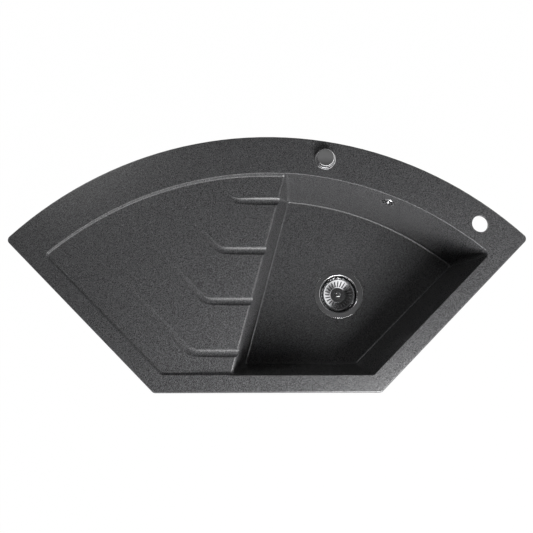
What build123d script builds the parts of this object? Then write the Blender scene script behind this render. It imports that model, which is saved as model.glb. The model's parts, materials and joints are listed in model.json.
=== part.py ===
from build123d import *
from math import asin, atan, atan2, cos, degrees, pi, radians, sin, sqrt, tan
import os

os.makedirs("parts", exist_ok=True)

# Corner kitchen sink: one moulded composite basin with a drainer, set into a worktop
# corner, with a basket waste, a covered overflow and a turning knob that lifts the basket.
# Millimetres and degrees. +Z up, +Y to the round back edge, +X to the bowl's side.
# The origin is on the worktop's surface, at the centre of the rim's overall size.

# ---------------------------------------------------------------- driving dimensions
# rim
rim_arc_r = 765.0          # the round back edge
rim_depth = 525.0          # back edge to front edge
front_edge = 451.0         # length of the straight front edge
side_angle = 45.0          # each side against the front edge's line
rim_corner_r = 10.0
rim_t = 9.0                # the rim stands this high on the worktop
rim_edge_round = 3.0
back_ledge = 78.0          # rim width behind the bowl, carrying the knob and the tap
side_rim = 35.0
front_rim = 35.0

# bowl
bowl_depth = 190.0         # rim top to floor at the drain
bowl_draft = 13.5          # each wall leans in by this much over the depth
bowl_corner_r = 10.0       # upright corners at the rim
bowl_foot_corner_r = 8.0   # the same corners at the floor
bowl_foot_round = 5.0      # between walls and floor
wall_t = 8.0
floor_t = 10.0
floor_fall = 0.015         # slope of the floor towards the drain
bowl_outer_round = 9.0

# drainer
divider_x = -71.0          # where the drainer's edge meets the front rim
divider_angle = 15.0       # the drainer's edge against the front-to-back line
divider_round = 6.0        # the drainer's edge rolls over into the bowl
tray_depth = 8.0           # rim top to drainer at its edge over the bowl
tray_fall = 0.009          # slope of the drainer towards the bowl
tray_t = 10.0
tray_corner_r = 9.0
tray_step_lean = 35.0      # the step down to the drainer, off the upright
tray_foot_r = 2.5          # round at the step's foot
mouth_r = 2.0              # round where the rim's top turns down into drainer and bowl
groove_count = 4
groove_pitch = 103.5
groove_first = 58.0        # back of the drainer to the first groove
groove_leg = 92.0          # from the drainer's edge to the bend
groove_run_first = 26.0    # slanting run of the groove nearest the back
groove_run_step = 57.0     # each further groove slants across this much more
groove_r = 10.0            # round of the groove's bottom
groove_depth = 5.5         # at the drainer's edge; it rises to nothing at the far end
groove_bend_r = 35.0

# rib under the rim, seal and fixings
rib_in = 15.0              # rim edge to rib
rib_t = 4.0
rib_drop = 12.0
rib_gap_r = 34.0           # the rib is broken round the tap and knob holes
seal_in = 3.5
seal_w = 5.0
seal_t = 2.0
seal_side_gap = 0.2
worktop_t = 38.0           # the thickest worktop the clips hold
clip_t = 2.0
clip_w = 20.0
clip_gap = 0.1             # clip to the rib it hooks on
clip_slot_w = 12.0
clip_slot_drop = 6.0       # worktop surface to the middle of the slot in the rib
clip_arm_below = 16.0      # arm below the worktop
clip_screw_in = 7.0        # rim edge to the screw
clip_screw_r = 2.5
clip_pad_r = 6.0
clip_pad_t = 2.0
clip_boss_r = 5.0          # threaded boss under the arm
clip_boss_t = 3.0
clip_tongue_play = 1.0     # the tongue is narrower than its slot by this much
clip_screw_reach = 14.0    # arm to the screw's head
clip_head_t = 3.5
clip_head_flats = 8.0
clip_front_x = 140.0
clip_side_share = (0.25, 0.75)
clip_back_angles = (-33.0, -11.0, 16.0, 31.0)

# holes in the back ledge
tap_hole_r = 17.5
hole_back = 39.4           # back edge to both holes' centres
tap_angle = 37.05          # round the back arc from its middle
knob_angle = 9.6

# drain
drain_x = 167.8
drain_y = -52.1
drain_hole_gap = 1.4       # cup's mouth to the hole in the floor
drain_seat_gap = 0.8       # round the flange
drain_seat_depth = 3.0
upper_gasket_t = 1.2
lower_gasket_t = 2.0
flange_w = 11.5            # flange beyond the hole in the floor
cup_t = 1.2
cup_r = 39.0
cup_swell = 0.6            # the drum is this much wider at its shoulder
cup_flare = 3.4            # drum to mouth
cup_depth = 40.0
cup_shoulder_round = 3.0
cup_foot_round = 4.0
cup_port_r = 21.0          # ports in the cup's bottom, outer edge
cup_port_inner_r = 11.0
cup_spoke_w = 4.0
cup_port_count = 6

# basket
basket_gap = 3.0           # cup's drum to the basket's rim
basket_rim_drop = 6.0      # floor at the drain to the basket's rim
basket_rim_w = 3.8
basket_taper = 15.2        # shoulder to foot
basket_h = 20.0
basket_t = 0.9
basket_slots = 24
basket_slot_w = 2.8
basket_bead_w = 1.4        # rolled rim
basket_bead_rise = 0.4
basket_bead_drop = 1.2
basket_shoulder_drop = 2.0
basket_round = 2.0         # at shoulder and foot
basket_foot_land = 2.0     # foot's edge to the slots
basket_shoulder_land = 1.0
grip_r = 6.2
grip_h = 13.0
grip_top_round = 1.8
grip_under_round = 1.2
grip_collar_w = 1.5        # collar at the rod's foot, under the stopper
pin_entry = 2.0            # the lift pin stands this far into the grip's rod
stopper_lap = 5.5          # the stopper covers the cup's ports by this much
stopper_lip = 3.0
stopper_web_t = 2.5

# waste body, bolt, pin and rocker
bolt_r = 5.0
bolt_head_r = 8.0
bolt_head_t = 3.2
bolt_length = 17.0
pin_r = 2.5
pin_foot_r = 4.0
pin_foot_t = 2.0
lift = 8.0                 # basket travel when the knob is turned
rocker_arm = 20.0
rocker_nose_r = 2.5
rocker_r = 4.0
rocker_finger_w = 6.0
rocker_finger_t = 3.0
crank_t = 4.0
body_wall = 3.5
body_gap = 1.7             # cup's drum to the housing's bore
body_flange_w = 7.0
body_flange_round = 1.0
body_foot_round = 3.0
body_sump = 9.0            # rocker's shaft to the drum's foot
body_cone_slope = 0.7
hub_r = 10.0
hub_gap = 0.5              # bolt's end to the hub's foot, and hub to the raised pin's foot
spider_leg_w = 4.0
spider_leg_step = 2.0      # legs' tops above the hub's middle
boss_inner_reach = 8.0     # the shaft's far bearing stands this far into the drum
shaft_boss_reach = 10.0    # housing to the shaft boss's face
inlet_reach = 8.0          # housing to the inlet's socket
crank_lead = 22.0          # from the middle of the crank's swing to the cable's anchor
crank_eye_wall = 5.0       # round the cable's eye
cable_eye_gap = 0.4
bracket_t = 3.0
bracket_margin = 8.0       # lug's edge round the gland
bracket_round = 4.0
outlet_r = 23.9            # thread crest of the 1 1/2 inch outlet
outlet_bore_r = 20.0
outlet_length = 32.0
gland_r = 4.0              # cable glands
gland_length = 20.0
gland_reach = 7.0          # from the gland's shoulder through the wall it is screwed in
gland_bore_r = 1.6

# overflow
overflow_angle = 22.0
overflow_drop = 42.0       # rim top to overflow
overflow_hole_r = 14.0
cover_r = 17.0
cover_t = 1.5
cover_sink = 0.6           # the cover's seat is cut this far into the wall
cover_holes = 8
cover_hole_r = 2.6
overflow_pad_r = 22.5
overflow_pad_t = 2.0
overflow_gasket_t = 2.0
elbow_r = 16.0
elbow_length = 32.0
elbow_neck = 8.0           # elbow to its socket
pipe_r = 11.0
pipe_t = 1.6
socket_t = 2.8
socket_depth = 18.0
corner_bend_r = 24.0
corner_neck = 4.0          # bend to each socket
inlet_drop = 60.0          # floor at the drain to the overflow inlet's axis
nut_t = 3.2
nut_wall = 2.4
nut_length = 16.0
nut_ribs = 12
nut_rib_t = 2.0
nut_rib_w = 2.4
cone_h = 3.0

# knob and its control
knob_r = 19.4
knob_h = 11.0
knob_wall = 1.6
knob_dome = 0.5            # the top's middle above its edge
knob_skirt_lean = 1.2      # top edge in from the foot
knob_edge_round = 1.6
collar_r = 21.9
collar_t = 2.5
stem_r = 16.0
skirt_gap = 0.6            # knob's skirt to the stem's head inside it
stem_head_t = 2.0
stem_drop = 34.0           # rim underside to the stem's lower end
spindle_r = 5.0
spindle_shoulder_t = 2.0
circlip_t = 1.0
grub_r = 1.25
ledge_washer_t = 2.0
ledge_nut_t = 10.0
ledge_nut_r = 22.6
housing_r = 21.5
housing_wall = 3.0
housing_chamber = 24.0
housing_grip = 12.0        # length screwed over the stem
wheel_drop = 8.0           # retaining ring to the wheel
wheel_r = 14.0
wheel_t = 4.0
wheel_pull_r = 9.0         # spindle to the eye for the cable

# fits
running = 0.05             # radial, shafts that turn or slide
thread_gap = 0.05          # radial, screwed pieces
seat_gap = 0.3             # between pieces that move past each other
slip_gap = 0.3             # round a tube in its socket

# ---------------------------------------------------------------- shared working
arc_y = rim_depth / 2 - rim_arc_r
front_y = -rim_depth / 2
side_rad = radians(side_angle)
divider_rad = radians(divider_angle)
along_divider = Vector(sin(divider_rad), cos(divider_rad))
across_divider = Vector(cos(divider_rad), -sin(divider_rad))
divider_foot = Vector(divider_x, front_y + front_rim)
floor_z = rim_t - bowl_depth
under_z = floor_z - floor_t
lean = bowl_draft / bowl_depth
cup_mouth_r = cup_r + cup_flare
drain_hole_r = cup_mouth_r + cup_t + drain_hole_gap
flange_r = drain_hole_r + flange_w


def side_point(along, inset):
    """A point on the right-hand side line, moved into the rim by an inset."""
    start = Vector(front_edge / 2, front_y)
    run = Vector(cos(side_rad), sin(side_rad))
    inward = Vector(-sin(side_rad), cos(side_rad))
    return start + run * along + inward * inset


def meet_arc(point, direction, radius):
    """Where a line from a point runs into a circle about the rim's arc centre."""
    x = point.X
    y = point.Y - arc_y
    b = x * direction.X + y * direction.Y
    run = -b + sqrt(b * b - x * x - y * y + radius * radius)
    return point + direction * run


def on_arc(angle, radius):
    """A point round the back arc, from its middle towards +X."""
    return Vector(radius * sin(radians(angle)), arc_y + radius * cos(radians(angle)))


def right_corners(back_in, side_in, front_in):
    """Front and back corners of the right-hand side, for given insets."""
    along = (front_in - side_in * cos(side_rad)) / sin(side_rad)
    front = side_point(along, side_in)
    run = Vector(cos(side_rad), sin(side_rad))
    return front, meet_arc(front, run, rim_arc_r - back_in)


def rim_shape(back_in, side_in, front_in, corner_r, z=0.0):
    """The rim's plan, drawn in by the insets of its back, sides and front."""
    front, back = right_corners(back_in, side_in, front_in)
    middle = (0, arc_y + rim_arc_r - back_in)
    plan = make_face(
        [
            ThreePointArc((-back.X, back.Y), middle, (back.X, back.Y)),
            Line((back.X, back.Y), (front.X, front.Y)),
            Line((front.X, front.Y), (-front.X, front.Y)),
            Line((-front.X, front.Y), (-back.X, back.Y)),
        ]
    )
    return Pos(0, 0, z) * fillet(plan.vertices(), corner_r)


def bowl_shape(inset, corner_r, z):
    """The bowl's plan at a height, drawn in from its outline at the rim's top."""
    front, back = right_corners(back_ledge + inset, side_rim + inset, front_rim + inset)
    edge = divider_foot + across_divider * inset
    left_front = edge + along_divider * ((front.Y - edge.Y) / along_divider.Y)
    radius = rim_arc_r - back_ledge - inset
    left_back = meet_arc(left_front, along_divider, radius)
    half_way = degrees(asin(back.X / radius) + asin(left_back.X / radius)) / 2
    plan = make_face(
        [
            ThreePointArc(left_back, on_arc(half_way, radius), back),
            Line(back, front),
            Line(front, left_front),
            Line(left_front, left_back),
        ]
    )
    return Pos(0, 0, z) * fillet(plan.vertices(), corner_r)


def bowl_block(outset, top_z, bottom_z):
    """The bowl's drafted block between two heights, grown by an outset."""
    sections = []
    for z in (top_z, bottom_z):
        down = (rim_t - z) / bowl_depth
        corner_r = bowl_corner_r + (bowl_foot_corner_r - bowl_corner_r) * down + outset
        sections.append(bowl_shape(bowl_draft * down - outset, corner_r, z))
    return loft(sections, ruled=True)


def inside_rim(inset, corner_r, z):
    """The plan inside the rim at a height, drawn in by an inset."""
    return rim_shape(back_ledge + inset, side_rim + inset, front_rim + inset, corner_r, z)


def recess_block(top_z, bottom_z):
    """Everything inside the rim, with the bowl's draft on its walls."""
    sections = []
    for z in (top_z, bottom_z):
        down = (rim_t - z) / bowl_depth
        corner_r = bowl_corner_r + (bowl_foot_corner_r - bowl_corner_r) * down
        sections.append(inside_rim(bowl_draft * down, corner_r, z))
    return loft(sections, ruled=True)


def rounded_mouth(wall_lean, corner_r, turns, depth):
    """Cutter that rolls the rim's top over, down a wall leaning off the upright."""
    reach = mouth_r * tan(radians(90 - wall_lean) / 2)
    path = [(-reach - mouth_r / 2, mouth_r / 4)]
    for turn in turns:
        across = mouth_r * sin(radians(turn)) - reach
        path.append((across, mouth_r * cos(radians(turn)) - mouth_r))
    last_inset, last_z = path[-1]
    run = (depth + last_z) / tan(radians(turns[-1]))
    path.append((last_inset + run, -depth))
    sections = []
    for inset, z in path:
        section_r = max(corner_r - inset, corner_r / 3)
        sections.append(inside_rim(inset, section_r, rim_t + z))
    return loft(sections, ruled=True)


def rounded_face(corners):
    """A closed outline through (u, v, radius) corners, each rounded by its radius."""
    turns = []
    count = len(corners)
    for i, (u, v, radius) in enumerate(corners):
        here = Vector(u, v)
        back = (Vector(*corners[i - 1][:2]) - here).normalized()
        ahead = (Vector(*corners[(i + 1) % count][:2]) - here).normalized()
        half = radians(back.get_angle(ahead)) / 2
        reach = radius / tan(half)
        middle = here + (back + ahead).normalized() * (radius / sin(half) - radius)
        turns.append((here + back * reach, middle, here + ahead * reach))
    edges = []
    for i in range(count):
        if corners[i][2] > 0:
            edges.append(ThreePointArc(*turns[i]))
        start = turns[i][2]
        end = turns[(i + 1) % count][0]
        if (end - start).length > 1e-4:
            edges.append(Line(start, end))
    return make_face(edges)


def turned(corners):
    """A solid turned about Z from (radius, height, rounding) corners."""
    return revolve(Plane.XZ * rounded_face(corners), Axis.Z)


def ring(inner_r, outer_r, bottom_z, top_z):
    """A plain ring about Z between two heights."""
    face = Circle(outer_r) - Circle(inner_r)
    return Pos(0, 0, bottom_z) * extrude(face, top_z - bottom_z)


def rod(radius, bottom_z, top_z):
    """A plain round bar about Z between two heights."""
    return Pos(0, 0, bottom_z) * extrude(Circle(radius), top_z - bottom_z)


def rod_between(start, end, radius):
    """A round bar from one point to another."""
    start = Vector(*start)
    end = Vector(*end)
    plane = Plane(origin=start, z_dir=end - start)
    return extrude(plane * Circle(radius), (end - start).length)


def bent_bar(points, bend_r, radius):
    """A round bar along two straight runs that an arc joins."""
    start, corner, end = (Vector(*p) for p in points)
    first = (start - corner).normalized()
    second = (end - corner).normalized()
    half = radians(first.get_angle(second)) / 2
    reach = bend_r / tan(half)
    inner = (first + second).normalized() * (bend_r / sin(half) - bend_r)
    path = Wire(
        [
            Line(start, corner + first * reach),
            ThreePointArc(corner + first * reach, corner + inner, corner + second * reach),
            Line(corner + second * reach, end),
        ]
    )
    return sweep(Plane(origin=start, z_dir=corner - start) * Circle(radius), path)


def hexagon_nut(flats, bore_r, bottom_z, top_z):
    """A six-sided nut about Z, given across its flats."""
    outline = RegularPolygon(flats / 2, 6, major_radius=False)
    return Pos(0, 0, bottom_z) * extrude(outline - Circle(bore_r), top_z - bottom_z)


def write(name, shape):
    """Write one node, with its solids named for it."""
    shape.label = name
    export_step(shape, f"parts/{name}.step")


# ---------------------------------------------------------------- basin
tap_at = on_arc(tap_angle, rim_arc_r - hole_back)
knob_at = on_arc(knob_angle, rim_arc_r - hole_back)

overflow_z = rim_t - overflow_drop
overflow_wall_r = rim_arc_r - back_ledge - overflow_drop * lean
overflow_wall = on_arc(overflow_angle, overflow_wall_r)
outwards = Vector(sin(radians(overflow_angle)), cos(radians(overflow_angle)))
lean_angle = atan(lean)
# the overflow's own frame: +Z goes out through the wall, square to its face
overflow_plane = Plane(
    origin=(overflow_wall.X, overflow_wall.Y, overflow_z),
    x_dir=(outwards.Y, -outwards.X, 0),
    z_dir=(outwards.X * cos(lean_angle), outwards.Y * cos(lean_angle), -sin(lean_angle)),
)

tray_edge_z = rim_t - tray_depth
tray_plane = Plane(
    origin=(divider_foot.X, divider_foot.Y, tray_edge_z),
    x_dir=(along_divider.X, along_divider.Y, 0),
    z_dir=(across_divider.X * tray_fall, across_divider.Y * tray_fall, 1),
)


# the drainer's edge over the bowl, across it and up: the sharp corner, and where the
# drainer starts to roll over
edge_u = lean * tray_depth / (1 - lean * tray_fall)
edge_corner = Vector(edge_u, tray_edge_z - edge_u * tray_fall)
edge_over_tray = Vector(-1, tray_fall).normalized()
edge_down_wall = Vector(lean, -1).normalized()
edge_half = radians(edge_over_tray.get_angle(edge_down_wall)) / 2
roll_start = edge_corner + edge_over_tray * (divider_round / tan(edge_half))


def tray_z(point):
    """Height of the drainer's surface over a plan point."""
    from_edge = (point - divider_foot).dot(across_divider)
    return tray_edge_z - from_edge * tray_fall


def clip_frames():
    """A frame at the rim's edge for each clip: +X along the edge, +Y into the sink."""
    side_length = (right_corners(0, 0, 0)[1] - right_corners(0, 0, 0)[0]).length
    frames = []
    for x in (-clip_front_x, clip_front_x):
        frames.append(Location((x, front_y, 0), (0, 0, 0)))
    for share in clip_side_share:
        spot = side_point(side_length * share, 0)
        frames.append(Location((spot.X, spot.Y, 0), (0, 0, side_angle)))
        frames.append(Location((-spot.X, spot.Y, 0), (0, 0, -side_angle)))
    for angle in clip_back_angles:
        spot = on_arc(angle, rim_arc_r)
        frames.append(Location((spot.X, spot.Y, 0), (0, 0, 180 - angle)))
    return frames


def half_space_above(plane, height=60.0):
    """A slab wider than the sink, standing on a plane."""
    return extrude(plane * Rectangle(3 * rim_depth, 3 * rim_depth), height)


def groove_cutter(number):
    """A round bar that sinks into the drainer as it nears the bowl."""
    y = arc_y + rim_arc_r - back_ledge - groove_first - number * groove_pitch
    edge_x = divider_x + (y - divider_foot.Y) * tan(divider_rad)
    run = groove_run_first + number * groove_run_step
    slant = Vector(-cos(side_rad), sin(side_rad))
    mouth = Vector(edge_x, y)
    bend = Vector(edge_x - groove_leg, y)
    far = bend + slant * (run / cos(side_rad))
    slant_length = (far - bend).length
    bend_depth = groove_depth * slant_length / (slant_length + groove_leg)
    heights = []
    for point, depth in ((mouth, groove_depth), (bend, bend_depth), (far, 0.0)):
        heights.append(Vector(point.X, point.Y, tray_z(point) + groove_r - depth))
    past_mouth = heights[0] + (heights[0] - heights[1]).normalized() * 3 * groove_r
    past_far = heights[2] + (heights[2] - heights[1]).normalized() * groove_r
    bend_r = min(groove_bend_r, 1.6 * slant_length)
    return bent_bar((past_mouth, heights[1], past_far), bend_r, groove_r)


def make_basin():
    """Rim, drainer and bowl in one moulding, with its holes, rib and drain seat."""
    rim = extrude(rim_shape(0, 0, 0, rim_corner_r), rim_t)
    rim = fillet(rim.faces().sort_by(Axis.Z)[-1].outer_wire().edges(), rim_edge_round)

    bowl_outer = bowl_block(wall_t, rim_t / 2, under_z)
    bowl_outer = fillet(bowl_outer.faces().sort_by(Axis.Z)[0].edges(), bowl_outer_round)

    shoulder = wall_t - 2
    tray_under = tray_plane.offset(-tray_t)
    tray_block = extrude(
        rim_shape(
            back_ledge - shoulder,
            side_rim - shoulder,
            front_rim - shoulder,
            tray_corner_r + shoulder,
            rim_t / 2,
        ),
        -rim_t / 2 - 4 * tray_t,
    )
    tray_block &= half_space_above(tray_under)

    rib_outer = rim_shape(rib_in, rib_in, rib_in, rim_corner_r)
    rib_far = rib_in + rib_t
    rib_inner = rim_shape(rib_far, rib_far, rib_far, rim_corner_r - rib_t)
    rib = Pos(0, 0, -rib_drop) * extrude(rib_outer - rib_inner, rib_drop + rim_t / 2)
    for hole in (tap_at, knob_at):
        rib -= Pos(hole.X, hole.Y, 0) * rod(rib_gap_r, -rib_drop - 1, 0)
    slot_h = 2 * clip_t
    for frame in clip_frames():
        slot = Box(clip_slot_w, 3 * rib_t, slot_h)
        rib -= frame * Pos(0, rib_in + rib_t / 2, -clip_slot_drop) * slot

    basin = rim + tray_block + bowl_outer + rib

    pad = overflow_plane * Pos(0, 0, wall_t / 2)
    basin += pad * extrude(Circle(overflow_pad_r), wall_t / 2 + overflow_pad_t)

    # bowl: all that lies right of the drainer's rolled edge and down its wall
    bowl_foot_z = floor_z - 2
    beside_edge = Plane(
        origin=(divider_foot.X, divider_foot.Y, 0),
        x_dir=(across_divider.X, across_divider.Y, 0),
        z_dir=(-along_divider.X, -along_divider.Y, 0),
    )
    section = rounded_face(
        [
            (2 * rim_depth, rim_t + 1, 0),
            (roll_start.X, rim_t + 1, 0),
            (roll_start.X, roll_start.Y, 0),
            (edge_corner.X, edge_corner.Y, divider_round),
            (lean * (rim_t - bowl_foot_z), bowl_foot_z, 0),
            (2 * rim_depth, bowl_foot_z, 0),
        ]
    )
    bowl = recess_block(rim_t + 1, bowl_foot_z)
    bowl &= extrude(beside_edge * section, 2 * rim_depth, both=True)

    def left_upright(edge):
        tall = abs((edge @ 0).Z - (edge @ 1).Z) > bowl_depth / 2
        beside = Vector((edge @ 0.5).X, (edge @ 0.5).Y) - divider_foot
        return tall and beside.dot(across_divider) < 1.2 * bowl_draft

    bowl = fillet([e for e in bowl.edges() if left_upright(e)], bowl_foot_corner_r)

    # its floor falls to the drain from every side
    reach = 2 * rim_depth
    fall_start = floor_z - flange_r * floor_fall
    dish = turned(
        [
            (0, fall_start, 0),
            (reach, fall_start + reach * floor_fall, 0),
            (reach, fall_start + reach, 0),
            (0, fall_start + reach, 0),
        ]
    )
    bowl &= Pos(drain_x, drain_y, 0) * dish
    bowl = fillet(bowl.faces().sort_by(Axis.Z)[0].edges(), bowl_foot_round)
    basin -= bowl

    # the bowl's mouth, rounded at the rim's top
    half = Rectangle(2 * rim_depth, 2 * rim_depth)
    mouth = rounded_mouth(degrees(lean_angle), bowl_corner_r, (10, 30, 50, 70), 1.3 * mouth_r)
    mouth &= extrude(beside_edge * Pos(roll_start.X + rim_depth, 0) * half, 2 * rim_depth, both=True)
    basin -= mouth

    # drainer, stepped down from the rim all round
    step_slope = 90 - tray_step_lean
    turns = (10, (10 + step_slope) / 2, step_slope)
    tray = rounded_mouth(tray_step_lean, tray_corner_r, turns, 1.5 * tray_depth)
    tray &= half_space_above(tray_plane)
    tray &= extrude(beside_edge * Pos(roll_start.X - rim_depth, 0) * half, 2 * rim_depth, both=True)

    def step_foot(edge):
        beside = Vector((edge @ 0.5).X, (edge @ 0.5).Y) - divider_foot
        return beside.dot(across_divider) < roll_start.X - 1

    floor_edges = tray.faces().sort_by(Axis.Z)[0].edges()
    basin -= fillet([e for e in floor_edges if step_foot(e)], tray_foot_r)
    for number in range(groove_count):
        basin -= groove_cutter(number)

    # holes in the ledge, and the seal's channel
    for hole in (tap_at, knob_at):
        basin -= Pos(hole.X, hole.Y, 0) * rod(tap_hole_r, -1, rim_t + 1)
    outer = rim_shape(seal_in, seal_in, seal_in, rim_corner_r - seal_in)
    inner_in = seal_in + seal_w
    inner = rim_shape(inner_in, inner_in, inner_in, rim_corner_r - inner_in)
    basin -= extrude(outer - inner, seal_t)

    # drain seat and overflow hole
    drain = Pos(drain_x, drain_y, 0)
    basin -= drain * rod(drain_hole_r, under_z - 1, floor_z + 1)
    seat_r = flange_r + drain_seat_gap
    basin -= drain * rod(seat_r, floor_z - drain_seat_depth, floor_z + 3)
    basin -= overflow_plane * rod(overflow_hole_r, -5, wall_t + overflow_pad_t + 1)
    basin -= overflow_plane * rod(cover_r + seat_gap, -3, cover_sink)
    return basin


write("sink_basin", make_basin())


# ---------------------------------------------------------------- seal and fixings
def make_worktop_seal():
    """Foam strip lying in the channel under the rim, flush with the rim's underside."""
    near = seal_in + seal_side_gap
    far = seal_in + seal_w - seal_side_gap
    outer = rim_shape(near, near, near, rim_corner_r - near)
    inner = rim_shape(far, far, far, rim_corner_r - far)
    return extrude(outer - inner, seal_t)


def make_clip():
    """One bent strip, hooked through the rib and reaching out under the worktop."""
    leg_in = rib_in + rib_t + clip_gap
    arm_top = -worktop_t - clip_arm_below
    strip = rounded_face(
        [
            (leg_in, -1, 0),
            (leg_in + clip_t, -1, 0),
            (leg_in + clip_t, arm_top - clip_t, 1.5 * clip_t),
            (clip_screw_in - clip_pad_r, arm_top - clip_t, 0),
            (clip_screw_in - clip_pad_r, arm_top, 0),
            (leg_in, arm_top, clip_t / 2),
        ]
    )
    clip = Pos(-clip_w / 2, 0, 0) * extrude(Plane.YZ * strip, clip_w)
    tongue_reach = rib_t + clip_gap + 1
    tongue = Box(clip_slot_w - clip_tongue_play, tongue_reach, clip_t)
    clip += Pos(0, leg_in - tongue_reach / 2, -clip_slot_drop) * tongue
    at_screw = Pos(0, clip_screw_in, 0)
    boss_foot = arm_top - clip_t - clip_boss_t
    clip += at_screw * rod(clip_boss_r, boss_foot, arm_top - clip_t)
    return clip - at_screw * rod(clip_screw_r + thread_gap, boss_foot - 1, arm_top + 1)


def make_clip_screw():
    """One screw, its foot pad up against the worktop's underside."""
    foot = -worktop_t
    pad_foot = foot - clip_pad_t
    head_top = foot - clip_arm_below - clip_screw_reach
    screw = rod(clip_pad_r, pad_foot, foot) + rod(clip_screw_r, head_top, pad_foot)
    socket_r = 0.6 * clip_screw_r
    head = hexagon_nut(clip_head_flats, socket_r, head_top - clip_head_t, head_top)
    return Pos(0, clip_screw_in, 0) * (screw + head)


# ---------------------------------------------------------------- drain: shared places
# heights here are from the floor at the drain
drain_at = Pos(drain_x, drain_y, floor_z)
flange_under = upper_gasket_t - drain_seat_depth
bolt_top = bolt_head_t - cup_depth
hub_top = -cup_depth - cup_t
bolt_foot = -cup_depth - bolt_length
hub_foot = bolt_foot - hub_gap
pin_foot_top = hub_foot - lift - hub_gap
pin_foot = pin_foot_top - pin_foot_t
half_turn = asin(lift / 2 / rocker_arm)
nose_z = pin_foot - seat_gap - rocker_nose_r
rocker_z = nose_z + lift / 2
rocker_y = -rocker_arm * cos(half_turn)
crank_arm = wheel_pull_r * sqrt(2) * rocker_arm / lift
body_top = -floor_t - lower_gasket_t
body_bore_r = cup_r + cup_swell + cup_t + body_gap
body_r = body_bore_r + body_wall
body_flange_r = body_r + body_flange_w
body_foot = rocker_z - rocker_r - body_sump
cone_foot = body_foot - (body_r - outlet_r) * body_cone_slope
outlet_foot = cone_foot - outlet_length

boss_r = 2 * rocker_r
boss_end = body_r + shaft_boss_reach
oring_r = 1.6 * rocker_r
oring_t = 2.6
gland_nut_wall = 2.4
nut_end = boss_end + seat_gap + gland_nut_wall
crank_x = nut_end + 1
bracket_y = rocker_y + crank_arm / 2 + crank_lead

socket_r = pipe_r + slip_gap
socket_outer_r = socket_r + socket_t
pipe_bore_r = pipe_r - pipe_t
elbow_start = wall_t + overflow_pad_t + overflow_gasket_t
pipe_head = overflow_plane.from_local_coords(Vector(0, 0, elbow_start + elbow_length / 2))
elbow_foot_z = pipe_head.Z - elbow_r - socket_depth - elbow_neck
inlet_run = Vector(pipe_head.X - drain_x, pipe_head.Y - drain_y)
inlet_angle = degrees(atan2(inlet_run.Y, inlet_run.X))
inlet_z = floor_z - inlet_drop
inlet_end = body_r + inlet_reach + socket_depth
corner_leg = corner_bend_r + socket_depth + corner_neck


def inlet_bar(radius, start, end):
    """A bar along the overflow inlet, between two distances from the drain's centre."""
    lying = Pos(0, 0, -inlet_drop) * Rot(0, 0, inlet_angle) * Rot(0, 90, 0)
    return lying * rod(radius, start, end)


def shaft_bar(radius, start, end):
    """A bar along the rocker's shaft, between two places across the drain."""
    return Pos(0, rocker_y, rocker_z) * Rot(0, 90, 0) * rod(radius, start, end)


# ---------------------------------------------------------------- drain pieces
def make_strainer_cup():
    """Pressed cup: flange, mouth, drum and a ported bottom round the bolt's hole."""
    hole_r = bolt_r + thread_gap
    foot = -cup_depth
    shoulder = -0.3 * cup_depth
    cup = turned(
        [
            (flange_r, flange_under, 0),
            (flange_r, flange_under + 1.7 * cup_t, 0.6 * cup_t),
            (cup_mouth_r + 2, flange_under + 1.1 * cup_t, cup_t),
            (cup_mouth_r, flange_under - 1.5 * cup_t, cup_t),
            (cup_r + cup_swell, shoulder, cup_shoulder_round),
            (cup_r, foot, cup_foot_round),
            (hole_r, foot, 0),
            (hole_r, foot - cup_t, 0),
            (cup_r + cup_t, foot - cup_t, cup_foot_round + cup_t),
            (cup_r + cup_swell + cup_t, shoulder - 0.5, cup_shoulder_round),
            (cup_mouth_r + cup_t, flange_under - 1.9 * cup_t, cup_t),
            (cup_mouth_r + 2.2 * cup_t, flange_under, 0.5 * cup_t),
        ]
    )
    ports = Circle(cup_port_r) - Circle(cup_port_inner_r)
    half_count = cup_port_count // 2
    for i in range(half_count):
        spoke = Rectangle(2 * cup_port_r + 2, cup_spoke_w)
        ports -= Rot(0, 0, 180 / half_count * i) * spoke
    return cup - Pos(0, 0, foot - cup_t - 1) * extrude(ports, cup_t + 2)


def make_clamp_bolt():
    """Hollow bolt that holds the cup down on the spider; the lift pin runs in it."""
    head = hexagon_nut(1.73 * bolt_head_r, bolt_r / 2, -cup_depth, bolt_top)
    bolt = head + rod(bolt_r, bolt_foot, -cup_depth)
    return bolt - rod(pin_r + running, bolt_foot - 1, bolt_top + 1)


def make_lift_pin():
    """Pin with a button foot that the rocker pushes up."""
    pin = rod(pin_r, pin_foot_top, bolt_top + seat_gap + pin_entry)
    return pin + rod(pin_foot_r, pin_foot, pin_foot_top)


def make_cable_bracket():
    """Lug on the drum's side that anchors the control cable's gland."""
    low = rocker_z - crank_arm - bracket_margin
    cable_x = -crank_x - crank_t / 2
    plate = rounded_face(
        [
            (-body_r + 6, rocker_z + boss_r, 0),
            (cable_x - bracket_margin, rocker_z + boss_r, bracket_round),
            (cable_x - bracket_margin, low, bracket_round),
            (cable_x + bracket_margin, low, bracket_round),
            (-body_r + 1, rocker_z - 12, 0),
            (-body_r + 6, rocker_z - 12, 0),
        ]
    )
    plate = Pos(0, bracket_y + bracket_t, 0) * extrude(Plane.XZ * plate, bracket_t)
    hole = Pos(cable_x, bracket_y, rocker_z - crank_arm) * Rot(-90, 0, 0)
    return plate - hole * rod(gland_r + thread_gap, -1, bracket_t + 1)


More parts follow.
